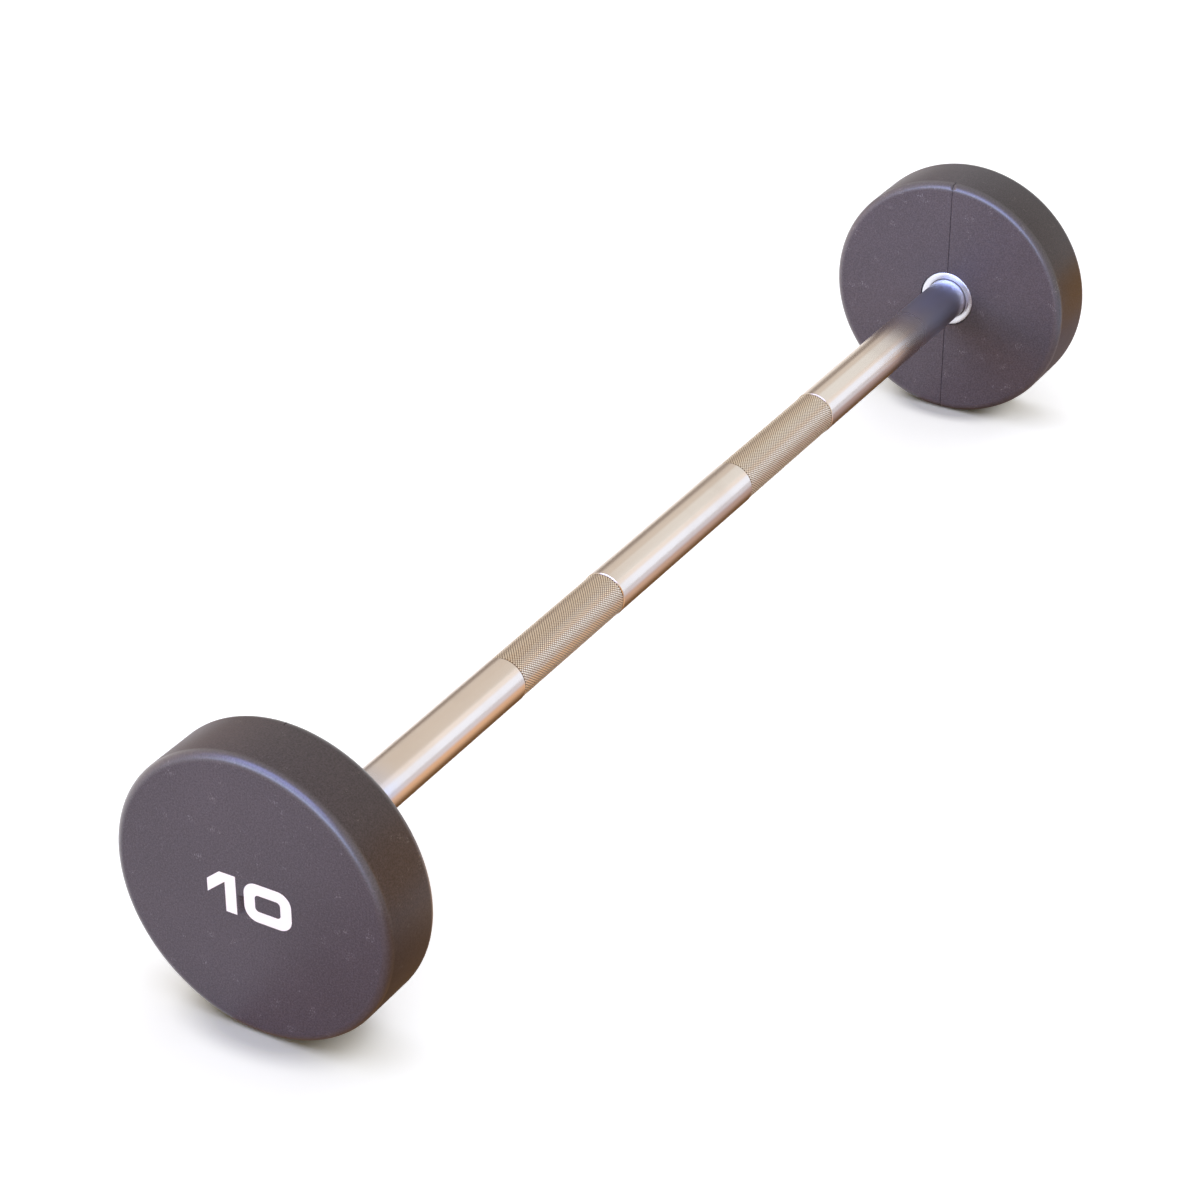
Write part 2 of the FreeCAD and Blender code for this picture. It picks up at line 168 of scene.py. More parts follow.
def extrude(along=0.0):
    """Extrudes what is selected by a distance along X."""
    bpy.ops.mesh.extrude_region_move(TRANSFORM_OT_translate={"value": (along, 0, 0)})


def resize_round_axis(factor):
    """Scales what is selected towards or away from the X axis."""
    bpy.ops.transform.resize(value=(1, factor, factor), center_override=(0, 0, 0))


def merge_doubles():
    bpy.ops.mesh.select_all(action="SELECT")
    bpy.ops.mesh.remove_doubles(threshold=TINY)


def tidy_mesh(piece):
    """Closes doubles, points all faces outwards and smooths all but the sharp edges."""
    start_edit(piece)
    merge_doubles()
    bpy.ops.mesh.normals_make_consistent(inside=False)
    end_edit()
    bpy.ops.object.shade_smooth_by_angle(angle=SHARP_ANGLE)


def report(piece):
    """Prints what a piece came to: its faces, its box and whether it is closed."""
    mesh = bmesh.new()
    mesh.from_mesh(piece.data)
    open_edges = sum(1 for edge in mesh.edges if len(edge.link_faces) != 2)
    triangles = sum(len(face.verts) - 2 for face in mesh.faces)
    volume = mesh.calc_volume(signed=True) / MM ** 3
    mesh.free()
    low, high = (Vector(corner) for corner in (piece.bound_box[0], piece.bound_box[6]))
    print("%s: %d triangles, %d open edges, %.0f mm3, x %.2f to %.2f, z %.2f to %.2f mm" % (
        piece.name, triangles, open_edges, volume,
        low.x / MM, high.x / MM, low.z / MM, high.z / MM,
    ))


# %% [markdown]
# The camera stands where the photographer stood. Its place and its long lens were worked out
# from the outlines of both heads and of the bar. It looks down by 30 degrees, past the near
# head and along the bar. It is level, so its turn comes from its line of sight alone.

# %% Camera
CAMERA_PLACE = Vector((-1.61234, -0.89070, 1.03201))
LINE_OF_SIGHT = Vector((0.744955, 0.435481, -0.505369))
LENS_MM = 98.68
SENSOR_MM = 36

clear_selection()
bpy.ops.object.camera_add(
    location=CAMERA_PLACE, rotation=LINE_OF_SIGHT.to_track_quat("-Z", "Y").to_euler()
)
camera = bpy.context.active_object
camera.name = "camera"
camera.data.lens = LENS_MM
camera.data.sensor_width = SENSOR_MM
bpy.context.scene.camera = camera
print("camera looks down by %.1f degrees" % math.degrees(math.asin(-LINE_OF_SIGHT.z)))


# %% [markdown]
# Nodes could be added and linked one by one, but shader maths reads best as plain expressions.
# The class below wraps one output socket of a node. Arithmetic on it adds the Math nodes, so a
# mask is written as 1 - wear * 0.5.

# %% Shader maths as expressions
class Signal:
    """One number or colour that runs through a material."""

    def __init__(self, finish, socket):
        self.finish = finish
        self.socket = socket

    def maths(self, operation, *values):
        return self.finish.node(
            "ShaderNodeMath", {"operation": operation}, dict(enumerate(values))
        )

    def __add__(self, other):
        return self.maths("ADD", self, other)

    __radd__ = __add__

    def __sub__(self, other):
        return self.maths("SUBTRACT", self, other)

    def __rsub__(self, other):
        return self.maths("SUBTRACT", other, self)

    def __mul__(self, other):
        return self.maths("MULTIPLY", self, other)

    __rmul__ = __mul__

    def __pow__(self, other):
        return self.maths("POWER", self, other)

    def __abs__(self):
        return self.maths("ABSOLUTE", self)

    def at_least(self, other):
        return self.maths("MAXIMUM", self, other)


def hypotenuse(first, second):
    """How far apart two places are that lie this far apart one way and square to it."""
    return (first * first + second * second) ** 0.5


# %% [markdown]
# A finish holds one material with its Principled shader. What is the same all over the surface
# is set on the shader's own sockets. One method adds every kind of node, and the others build
# on it: noise by the size of its patches, a smooth step, a mix of two colours and a relief.

# %% Finishes
class Finish:
    """A material for one surface of the barbell, or of the studio round it."""

    def __init__(self, name, constants={}):
        self.material = bpy.data.materials.new(name)
        self.material.use_nodes = True
        self.tree = self.material.node_tree
        self.shader = self.tree.nodes["Principled BSDF"]
        for socket, value in constants.items():
            self.shader.inputs[socket].default_value = value
        self.place = self.node("ShaderNodeTexCoord", output="Object")

    def node(self, kind, settings={}, sockets={}, output=0):
        """Adds a node: first its settings, then the values or links of its sockets."""
        made = self.tree.nodes.new(kind)
        for setting, value in settings.items():
            setattr(made, setting, value)
        for socket, value in sockets.items():
            self.feed(made.inputs[socket], value)
        return Signal(self, made.outputs[output])

    def feed(self, socket, value):
        if isinstance(value, Signal):
            self.tree.links.new(value.socket, socket)
        else:
            socket.default_value = value

    def set(self, socket, value):
        self.feed(self.shader.inputs[socket], value)

    def coordinates(self):
        """The place on the piece as three numbers: along the bar, across it and up."""
        parts = self.node("ShaderNodeSeparateXYZ", {}, {0: self.place})
        outputs = parts.socket.node.outputs
        return [Signal(self, outputs[axis]) for axis in range(3)]

    def noise(self, size, detail, place=None, stretch=None):
        """Noise from 0 to 1 whose patches are about this many metres across."""
        place = place or self.place
        if stretch:
            place = self.node("ShaderNodeMapping", {}, {"Vector": place, "Scale": stretch})
        return self.node(
            "ShaderNodeTexNoise", {}, {"Vector": place, "Scale": 1 / size, "Detail": detail}, "Fac"
        )

    def fade(self, signal, start, end):
        """Rises smoothly from 0 to 1 while the signal goes from start to end."""
        return self.node(
            "ShaderNodeMapRange", {"interpolation_type": "SMOOTHSTEP"},
            {"Value": signal, "From Min": start, "From Max": end},
        )

    def blend(self, share, first, second):
        """A mix of two colours."""
        return self.node(
            "ShaderNodeMix", {"data_type": "RGBA"}, {0: share, 6: first, 7: second}, 2
        )

    def relief(self, height, distance, strength):
        """Lets a height, as a share of a distance in metres, tilt the shading."""
        bump = self.node(
            "ShaderNodeBump", {}, {"Strength": strength, "Distance": distance, "Height": height},
            "Normal",
        )
        self.set("Normal", bump)

    def describe(self):
        print("finish %s: %d nodes" % (self.material.name, len(self.tree.nodes)))


def colour(red, green, blue):
    return (red, green, blue, 1)


# %% [markdown]
# The studio is plain: a pale floor, a white surround and large soft lamps. The picture's white
# comes from the floor's own colour and from the world, not from more light on the barbell. The
# world is white where the camera, a reflection or clear glass looks at it. As a lamp it is
# dimmer, so that colours render about as they are written.

# %% World
WORLD_WHITE = 1.0
WORLD_LIGHT = 0.33
WORLD_LIGHT_COLOUR = colour(1.0, 0.82, 0.45)
WHITE = colour(1, 1, 1)

world = bpy.data.worlds.new("studio_world")
bpy.context.scene.world = world
world.use_nodes = True
nodes = world.node_tree.nodes
links = world.node_tree.links
path = nodes.new("ShaderNodeLightPath")
shown = path.outputs["Is Camera Ray"]
for kind in ("Is Glossy Ray", "Is Transmission Ray"):
    total = nodes.new("ShaderNodeMath")
    total.operation = "ADD"
    total.use_clamp = True
    links.new(shown, total.inputs[0])
    links.new(path.outputs[kind], total.inputs[1])
    shown = total.outputs[0]
lamp_side = nodes["Background"]
lamp_side.inputs["Color"].default_value = WORLD_LIGHT_COLOUR
lamp_side.inputs["Strength"].default_value = WORLD_LIGHT
white_side = nodes.new("ShaderNodeBackground")
white_side.inputs["Color"].default_value = WHITE
white_side.inputs["Strength"].default_value = WORLD_WHITE
either = nodes.new("ShaderNodeMixShader")
links.new(shown, either.inputs["Fac"])
links.new(lamp_side.outputs[0], either.inputs[1])
links.new(white_side.outputs[0], either.inputs[2])
links.new(either.outputs[0], nodes["World Output"].inputs["Surface"])
bpy.context.scene.view_settings.view_transform = "Standard"
print("world: strength %.2f to look at, %.2f as a lamp" % (WORLD_WHITE, WORLD_LIGHT))

# %% [markdown]
# The floor is a large matt sheet under the heads. A pale floor throws light back up at the
# barbell. The photographed one sends up warm light, so this floor has one colour to look at and
# a brown one for the light that it passes on.

# %% Floor
FLOOR_SIZE = 24.0
FLOOR_COLOUR = colour(0.90, 0.915, 0.95)
FLOOR_BOUNCE_COLOUR = colour(0.55, 0.30, 0.10)
MATT = {"Roughness": 1.0, "Specular IOR Level": 0}

clear_selection()
bpy.ops.mesh.primitive_plane_add(size=FLOOR_SIZE, location=(0, 0, cad_low.z))
floor = settle("floor")
studio_floor = Finish("studio_floor", MATT)
bounce = studio_floor.node("ShaderNodeLightPath", output="Is Diffuse Ray")
studio_floor.set("Base Color", studio_floor.blend(bounce, FLOOR_COLOUR, FLOOR_BOUNCE_COLOUR))
floor.data.materials.append(studio_floor.material)
print("floor at z %.1f mm" % (cad_low.z / MM))

# %% [markdown]
# Lamps that turned the whole floor white would wash out the shadows too. So the floor also
# glows a little for the camera, for reflections and for clear glass, and lights nothing by it.
# The glow is faint where the heads touch the floor, so that their shadows stay, and strongest
# far away, where no lamp reaches. A head's shadow is longer across the bar than along it, so
# distance along the bar counts for more.

# %% The floor's glow
GLOW_AT_HEADS = 0.02
GLOW_AWAY = 0.42
GLOW_DISTANT = 0.86
GLOW_START = 0.022
GLOW_END_NEAR_HEAD = 0.066
GLOW_END_FAR_HEAD = 0.052
HALVES_BLEND = 0.1
DISTANT_START = 0.9
DISTANT_END = 2.2
ALONG_WEIGHT = 2
EDGE_RADIUS = 5 * MM

head_low, head_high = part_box("right_casing")
HEAD_START = head_low.x
HEAD_END = head_high.x
HEAD_MIDDLE = (HEAD_START + HEAD_END) / 2
HALF_FLAT = (HEAD_END - HEAD_START) / 2 - EDGE_RADIUS

floor_along, floor_across, _ = studio_floor.coordinates()
past_flat = (abs(abs(floor_along) - HEAD_MIDDLE) - HALF_FLAT).at_least(0) * ALONG_WEIGHT
from_contact = hypotenuse(past_flat, floor_across)
far_half = studio_floor.fade(floor_along, -HALVES_BLEND, HALVES_BLEND)
glow_end = GLOW_END_NEAR_HEAD - far_half * (GLOW_END_NEAR_HEAD - GLOW_END_FAR_HEAD)
away = studio_floor.fade(from_contact, GLOW_START, glow_end)
from_centre = hypotenuse(floor_along, floor_across)
distant = studio_floor.fade(from_centre, DISTANT_START, DISTANT_END)
glow = GLOW_AT_HEADS + away * (GLOW_AWAY - GLOW_AT_HEADS) + distant * (GLOW_DISTANT - GLOW_AWAY)
camera_looks, mirror_looks, glass_looks = (
    studio_floor.node("ShaderNodeLightPath", output=kind)
    for kind in ("Is Camera Ray", "Is Glossy Ray", "Is Transmission Ray")
)
studio_floor.set("Emission Color", WHITE)
studio_floor.set("Emission Strength", (camera_looks + mirror_looks + glass_looks) * glow)
studio_floor.describe()


# %% [markdown]
# Chrome on a white floor goes white all over and loses its edges. A photographer lays a card
# beside it, which only its reflection shows. The reflection could be painted on the bar, but
# then it wouldn't move with the view. So here is a card that is hidden from every ray but the
# glossy ones. It also glows faintly in its own colours, so what the chrome shows of it is a
# painted reflection. It is dark brown under the bar, a painted shadow of the bar, tan in front of
# it, bluish white further out, and brown again by the near head. Towards the far head the tan
# turns to a dull rose grey.

# %% Sheets seen only in reflections
def add_sheet(name, place, size, turn=(0, 0, 0)):
    """A flat sheet of the studio that is hidden from every ray but the glossy ones."""
    clear_selection()
    bpy.ops.mesh.primitive_plane_add(size=1, location=place, rotation=turn)
    bpy.context.active_object.scale = (*size, 1)
    sheet = settle(name)
    sheet.visible_camera = False
    sheet.visible_diffuse = False
    sheet.visible_transmission = False
    sheet.visible_volume_scatter = False
    sheet.visible_shadow = False
    return sheet


# %% Brown card
CARD_LOW = Vector((-0.80, -3.0))
CARD_HIGH = Vector((3.50, 0.02))
CARD_HEIGHT = 0.3 * MM
CARD_GLOW = 0.55
CARD_PAINTED_BAR_SHADOW = colour(0.14, 0.078, 0.033)
CARD_FRONT = colour(0.77, 0.53, 0.36)
CARD_FRONT_FAR = colour(0.43, 0.35, 0.37)
CARD_OUTER = colour(0.70, 0.78, 1.0)
CARD_BY_HEAD = colour(0.25, 0.14, 0.066)
NEAR_TO_FAR = (-0.15, 0.35)
UNDER_TO_FRONT = (-0.015, -0.12)
FRONT_TO_OUTER = (-0.15, -0.27)
TO_NEAR_HEAD = (-0.28, -0.36)

card_middle = (CARD_LOW + CARD_HIGH) / 2
card_place = (card_middle.x, card_middle.y, cad_low.z + CARD_HEIGHT)
card = add_sheet("brown_card", card_place, CARD_HIGH - CARD_LOW)
# Painted reflection: the card glows faintly in its own colours.
card_paper = Finish("card_paper", {**MATT, "Emission Strength": CARD_GLOW})
card_along, card_across, _ = card_paper.coordinates()
tan_to_rose = card_paper.fade(card_along, *NEAR_TO_FAR)
card_colour = card_paper.blend(tan_to_rose, CARD_FRONT, CARD_FRONT_FAR)
in_front = card_paper.fade(card_across, *UNDER_TO_FRONT)
# Painted shadow: the card is dark brown under the bar.
card_colour = card_paper.blend(in_front, CARD_PAINTED_BAR_SHADOW, card_colour)
further_out = card_paper.fade(card_across, *FRONT_TO_OUTER)
card_colour = card_paper.blend(further_out, card_colour, CARD_OUTER)
by_near_head = card_paper.fade(card_along, *TO_NEAR_HEAD)
card_colour = card_paper.blend(by_near_head, card_colour, CARD_BY_HEAD)
card_paper.set("Base Color", card_colour)
card_paper.set("Emission Color", card_colour)
card.data.materials.append(card_paper.material)
card_paper.describe()

# %% [markdown]
# Four more sheets stand for the rest of the photographer's studio. A grey flag behind the bar
# gives it a darker upper side. An amber flag beside each head warms the head's rim. A violet
# reflector over the near head draws the pale line along the rounded edges. They could be lamps,
# but a sheet that only reflections show leaves the light on everything else as it is.

# %% Flags and reflector
def turn_towards(place, aim):
    """The turn that makes a lamp or a sheet at one place face another."""
    return (Vector(aim) - Vector(place)).to_track_quat("-Z", "Y").to_euler()


BLACK = colour(0, 0, 0)
AMBER = colour(1.0, 0.50, 0.07)
UPRIGHT = (math.pi / 2, 0, 0)
SLOPING = (math.pi / 2, math.radians(-22), 0)
REFLECTOR_PLACE = (-1.42, 0.2, 1.08)
REFLECTOR_AIM = (-0.46, 0, 0.07)
SHEETS = {
    "grey_flag": {
        "place": (1.6, 1.2, 0.46), "turn": SLOPING, "size": (2.4, 0.60),
        "glow": 1, "colour": colour(0.42, 0.38, 0.36),
    },
    "amber_flag": {
        "place": (-0.32, -0.20, 0.045), "turn": UPRIGHT, "size": (0.16, 0.15),
        "glow": 1, "colour": AMBER,
    },
    "far_amber_flag": {
        "place": (0.535, -0.13, -0.01), "turn": UPRIGHT, "size": (0.13, 0.08),
        "glow": 1, "colour": AMBER,
    },
    "violet_reflector": {
        "place": REFLECTOR_PLACE, "turn": turn_towards(REFLECTOR_PLACE, REFLECTOR_AIM),
        "size": (1.8, 1.0), "glow": 7.2, "colour": colour(0.42, 0.50, 1.0),
    },
}
for name, sheet in SHEETS.items():
    glowing = add_sheet(name, sheet["place"], sheet["size"], sheet["turn"])
    cloth = Finish(name + "_cloth", {
        **MATT, "Base Color": BLACK,
        "Emission Color": sheet["colour"], "Emission Strength": sheet["glow"],
    })
    glowing.data.materials.append(cloth.material)
print("sheets seen only in reflections:", ", ".join(SHEETS))

# %% [markdown]
# Chrome and dark urethane need very different light, and neither suits the floor. In a studio,
# black cloth shades each lamp off the parts that it shouldn't reach. Blender's light linking
# does the same: each lamp belongs to a group, and lights only what is linked to that group. A
# group that lists nothing but pieces to leave out lights all the others. The pieces are linked
# when they exist. Most of these lamps are also kept out of reflections.

# %% Lamps
LAMPS = {
    "floor_softbox": {
        "place": (0.0, 0.0, 1.6), "aim": (0, 0, 0), "size": (3.2, 2.4),
        "watts": 41, "colour": (0.78, 0.84, 1.0), "lights": "floor",
    },
    "front_softbox": {
        "place": (-5.0, 0.75, 0.9), "aim": (0, 0, 0), "size": (5.5, 1.7),
        "watts": 228, "colour": (0.46, 0.60, 1.0), "lights": "heads",
    },
    "top_softbox": {
        "place": (-1.40, -0.40, 1.10), "aim": (-0.3, 0, 0), "size": (3.0, 0.6),
        "watts": 20, "colour": (1.0, 0.78, 0.66), "lights": "heads",
    },
    "far_softbox": {
        "place": (-0.25, 0.7, 0.55), "aim": (0.42, 0, 0), "size": (0.6, 0.6),
        "watts": 11, "colour": (0.68, 0.80, 1.0), "lights": "far_head",
    },
    "end_softbox": {
        "place": (4.0, 0, 0.2), "aim": (0.46, 0, 0), "size": (1.0, 1.0),
        "watts": 118, "colour": (0.64, 0.80, 1.0), "lights": "far_head",
    },
    "inner_softbox": {
        "place": (4.0, 0, 0.2), "aim": (-0.42, 0, 0), "size": (2.4, 2.4),
        "watts": 170, "colour": (0.64, 0.80, 1.0), "lights": "near_head",
    },
    "warm_back_softbox": {
        "place": (-0.4, 2.0, 0.4), "aim": (0, 0, 0), "size": (2.4, 0.8),
        "watts": 30, "colour": (1.0, 0.42, 0.08), "lights": "heads",
    },
    "cool_wide_softbox": {
        "place": (2.0, -1.5, 1.05), "aim": (2.0, 0, 1.05), "size": (3.0, 2.2),
        "watts": 12.0, "colour": (0.66, 0.76, 1.0), "lights": "bar",
    },
    "cool_narrow_softbox": {
        "place": (2.0, -1.45, 0.45), "aim": (2.0, 0, 0.45), "size": (3.0, 1.0),
        "watts": 6.2, "colour": (0.05, 0.40, 1.0), "lights": "bar",
    },
    "cool_far_softbox": {
        "place": (2.8, -0.33, 1.5), "aim": (2.8, -0.33, 0), "size": (2.4, 1.55),
        "watts": 5.8, "colour": (0.41, 0.69, 1.0), "lights": "bar",
    },
}
NOT_REFLECTED = (
    "floor_softbox", "top_softbox", "far_softbox", "end_softbox", "inner_softbox",
    "warm_back_softbox",
)
LIGHT_GROUPS = ("floor", "heads", "near_head", "far_head", "bar")
lit_by = {group: bpy.data.collections.new(group + "_lamps") for group in LIGHT_GROUPS}

for name, lamp in LAMPS.items():
    clear_selection()
    turn = turn_towards(lamp["place"], lamp["aim"])
    bpy.ops.object.light_add(type="AREA", location=lamp["place"], rotation=turn)
    light = bpy.context.active_object
    light.name = name
    light.data.shape = "RECTANGLE"
    light.data.size, light.data.size_y = lamp["size"]
    light.data.energy = lamp["watts"]
    light.data.color = lamp["colour"]
    light.visible_camera = False
    light.visible_glossy = name not in NOT_REFLECTED
    light.light_linking.receiver_collection = lit_by[lamp["lights"]]
print("lamps:", ", ".join(LAMPS))


# %% The floor's lamps
def leave_out(group, piece):
    """Keeps the light of a group of lamps off one piece."""
    lit_by[group].objects.link(piece)
    lit_by[group].collection_objects[-1].light_linking.link_state = "EXCLUDE"


for paper in (floor, card):
    lit_by["floor"].objects.link(paper)
    leave_out("heads", paper)
print("lit by the floor's lamp:", floor.name, card.name)

# %% [markdown]
# The heads are covered in moulded urethane, a hard matt rubber. It is nearly black with a
# purple cast. The mould leaves a fine pebble grain, and use leaves a few pale scuffs. A picture
# of grain would need a seam somewhere on a round head, so the grain is noise at two sizes, as
# height and as a slight change of colour. A scuff is a patch of scratchy noise that shows only
# where a second, much coarser noise is high.

# %% Urethane
COARSE_GRAIN_SIZE = 1.1 * MM
FINE_GRAIN_SIZE = 0.45 * MM
CLOUD_SIZE = 60 * MM
SPECK_SIZE = 0.9 * MM
SCUFF_PLACE_SIZE = 9 * MM
SCUFF_MARK_SIZE = 1.0 * MM
SCUFF_MARK_STRETCH = (1, 1.6, 0.7)
URETHANE_DARK = colour(0.0455, 0.0385, 0.0445)
URETHANE_PALE = colour(0.084, 0.071, 0.083)
URETHANE_SPECK = colour(0.15, 0.14, 0.16)
URETHANE_SCUFF = colour(0.26, 0.25, 0.27)

urethane = Finish("urethane", {"Specular IOR Level": 0.35, "Coat Roughness": 0.36})
coarse_grain = urethane.noise(COARSE_GRAIN_SIZE, 3)
fine_grain = urethane.noise(FINE_GRAIN_SIZE, 2)
grain = coarse_grain * 0.6 + fine_grain * 0.4
cloud = urethane.noise(CLOUD_SIZE, 3)
specks = urethane.fade(urethane.noise(SPECK_SIZE, 1), 0.66, 0.78)
scuff_place = urethane.fade(urethane.noise(SCUFF_PLACE_SIZE, 2), 0.63, 0.70)
scratches = urethane.noise(SCUFF_MARK_SIZE, 3, stretch=SCUFF_MARK_STRETCH)
scuffs = scuff_place * urethane.fade(scratches, 0.52, 0.66)
shade = urethane.fade(grain * 0.88 + cloud * 0.12, 0.36, 0.64)
body = urethane.blend(shade, URETHANE_DARK, URETHANE_PALE)
body = urethane.blend(specks * 0.35, body, URETHANE_SPECK)
body = urethane.blend(scuffs * 0.5, body, URETHANE_SCUFF)
urethane.set("Base Color", body)

# %% [markdown]
# Hands and racks rub the rounded edges of the heads smooth. The grain nearly goes there, and a
# thin glossy coat takes its place. The edges could have a material of their own, but a mask has
# no hard border. This one is high where the surface is near both an end face and the rim.

# %% Handled edges
HEAD_RADIUS = head_high.z
FLAT_RADIUS = HEAD_RADIUS - EDGE_RADIUS
BEFORE_EDGE = 1 * MM
PAST_EDGE = 2 * MM
GRAIN_HEIGHT = 0.12 * MM

head_along, head_across, head_up = urethane.coordinates()
from_head_middle = abs(abs(head_along) - HEAD_MIDDLE)
from_head_axis = hypotenuse(head_across, head_up)
by_face = urethane.fade(from_head_middle, HALF_FLAT - BEFORE_EDGE, HALF_FLAT + PAST_EDGE)
by_rim = urethane.fade(from_head_axis, FLAT_RADIUS - BEFORE_EDGE, FLAT_RADIUS + PAST_EDGE)
handled_edge = by_face * by_rim
urethane.set("Roughness", 0.38 + grain * 0.12 + scuffs * 0.1 - handled_edge * 0.12)
urethane.set("Coat Weight", handled_edge)
urethane.relief(grain * (1 - handled_edge * 0.8), GRAIN_HEIGHT, 0.6)
urethane.describe()

# %% [markdown]
# The weight number is white infill, level with the face. It is a matt plastic with a hint of
# the same grain, a little grey where hands have rubbed dirt into it.

# %% White infill
INFILL_GRAIN_SIZE = 0.7 * MM
INFILL_GRAIN_HEIGHT = 0.05 * MM
DIRT_SIZE = 11 * MM
INFILL_CLEAN = colour(0.93, 0.93, 0.93)
INFILL_DIRTY = colour(0.80, 0.79, 0.78)

infill = Finish("white_infill")
infill_grain = infill.noise(INFILL_GRAIN_SIZE, 3)
dirt = infill.fade(infill.noise(DIRT_SIZE, 3), 0.55, 0.8)
infill.set("Base Color", infill.blend(dirt * 0.35, INFILL_CLEAN, INFILL_DIRTY))
infill.set("Roughness", 0.48 + infill_grain * 0.14)
infill.relief(infill_grain, INFILL_GRAIN_HEIGHT, 0.5)
infill.describe()

# %% [markdown]
# The bar is satin chrome. Plating this smooth still shows soft blurred reflections and very
# fine lines from polishing, which run round the bar. The knurled grips have the same plating, a
# little yellower. Their grooves are rougher, because the polishing never reaches them, and
# their colour is painted darker: partly dirt that they hold, partly painted shade in the hollows.
# The distance from the bar's axis tells groove from crest, and grip from smooth bar, so one
# material serves the whole piece.

# %% Satin chrome
_, bar_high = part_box("bar")
BAR_RADIUS = bar_high.z
GRIP_DROP = 0.3 * MM
KNURL_DEPTH = 0.40 * MM
CREST_RADIUS = BAR_RADIUS - GRIP_DROP
VALLEY_RADIUS = CREST_RADIUS - KNURL_DEPTH
MARGIN = 0.05 * MM
POLISH_LINE_SIZE = 0.5 * MM
POLISH_LINE_STRETCH = (1, 0.04, 0.04)
SMUDGE_SIZE = 34 * MM
CHROME = colour(0.635, 0.52, 0.42)
CHROME_DULL = colour(0.58, 0.47, 0.375)
CHROME_KNURLED = colour(0.69, 0.55, 0.41)
METAL = {"Metallic": 1.0}

chrome = Finish("satin_chrome", METAL)
along, across, up = chrome.coordinates()
from_axis = hypotenuse(across, up)
groove = 1 - chrome.fade(from_axis, VALLEY_RADIUS + MARGIN, CREST_RADIUS - 2 * MARGIN)
knurled = 1 - chrome.fade(from_axis, CREST_RADIUS + MARGIN, BAR_RADIUS - MARGIN)
polish = chrome.noise(POLISH_LINE_SIZE, 2, stretch=POLISH_LINE_STRETCH)
smudge = chrome.fade(chrome.noise(SMUDGE_SIZE, 4), 0.45, 0.75)
plating = chrome.blend(smudge * 0.5, CHROME, CHROME_DULL)
plating = chrome.blend(knurled, plating, CHROME_KNURLED)

# %% [markdown]
# By the rings the bar is darker and bluer: its colour there is a painted reflection of the dark
# heads that it faces. A wheel can't polish right up to a head, so the plating there is also
# taken to be rougher. The change fades in over a few centimetres.

# %% Plating and painted reflection by the rings
CHROME_PAINTED_HEAD_REFLECTION = colour(0.48, 0.485, 0.565)
# Dirt and painted shade for the knurl's grooves.
GROOVE_DIRT_AND_SHADE = colour(0.12, 0.075, 0.04)
RING_ZONE_START = 322 * MM
RING_ZONE_FULL = 378 * MM

by_ring = chrome.fade(abs(along), RING_ZONE_START, RING_ZONE_FULL)
# Painted reflection: the chrome's colour turns darker and bluer by the rings, standing in for the
# dark heads it reflects.
plating = chrome.blend(by_ring, plating, CHROME_PAINTED_HEAD_REFLECTION)
# Painted shade: the grooves' colour is darkened, partly for dirt and partly for shade in the
# hollows.
chrome.set("Base Color", chrome.blend(groove * 0.9, plating, GROOVE_DIRT_AND_SHADE))
chrome.set("Roughness", 0.19 + polish * 0.05 + smudge * 0.03 + groove * 0.2 + by_ring * 0.11)
chrome.describe()

# %% [markdown]
# The ring in the head is faced on a lathe. The tool leaves fine circles, which are noise that
# changes fast along a radius and hardly at all with the angle round the bar. Height, colour and
# Roughness follow it. Dirt in the joint with the bar draws a thin dark line.

# %% Brushed ring
TOOL_MARK_SIZE = 0.35 * MM
TOOL_MARK_HEIGHT = 0.012 * MM
CHANGE_PER_RADIAN = 0.5 * MM
JOINT_START = BAR_RADIUS + 0.4 * MM
JOINT_END = BAR_RADIUS + 0.9 * MM
RING_DULL = colour(0.68, 0.67, 0.70)
RING_BRIGHT = colour(0.84, 0.84, 0.88)
JOINT_DIRT = colour(0.16, 0.13, 0.11)

ring_metal = Finish("brushed_ring", METAL)
ring_along, ring_across, ring_up = ring_metal.coordinates()
angle = ring_metal.node(
    "ShaderNodeMath", {"operation": "ARCTAN2"}, {0: ring_up, 1: ring_across}
)
from_ring_axis = hypotenuse(ring_across, ring_up)
turned = ring_metal.node(
    "ShaderNodeCombineXYZ", {}, {0: from_ring_axis, 1: angle * CHANGE_PER_RADIAN, 2: ring_along}
)
marks = ring_metal.noise(TOOL_MARK_SIZE, 3, place=turned)
strong_marks = ring_metal.fade(marks, 0.35, 0.68)
joint = 1 - ring_metal.fade(from_ring_axis, JOINT_START, JOINT_END)
turned_steel = ring_metal.blend(strong_marks, RING_DULL, RING_BRIGHT)
ring_metal.set("Base Color", ring_metal.blend(joint * 0.8, turned_steel, JOINT_DIRT))
ring_metal.set("Roughness", 0.24 + strong_marks * 0.14)
ring_metal.relief(marks, TOOL_MARK_HEIGHT, 0.6)
ring_metal.describe()

# %% [markdown]
# Inside the heads, out of sight, are plain machined steel, bright zinc plate and a black bolt.
# They show when the model is taken apart. Machined steel has fine turning lines round the bar's
# axis and a few oil stains. Zinc has a faint mottle. The bolt's black has thin patches.

# %% Machined steel
LATHE_LINE_SIZE = 0.35 * MM
LATHE_LINE_HEIGHT = 0.02 * MM
STAIN_SIZE = 22 * MM
STEEL_CLEAN = colour(0.40, 0.39, 0.38)
STEEL_STAINED = colour(0.24, 0.21, 0.18)

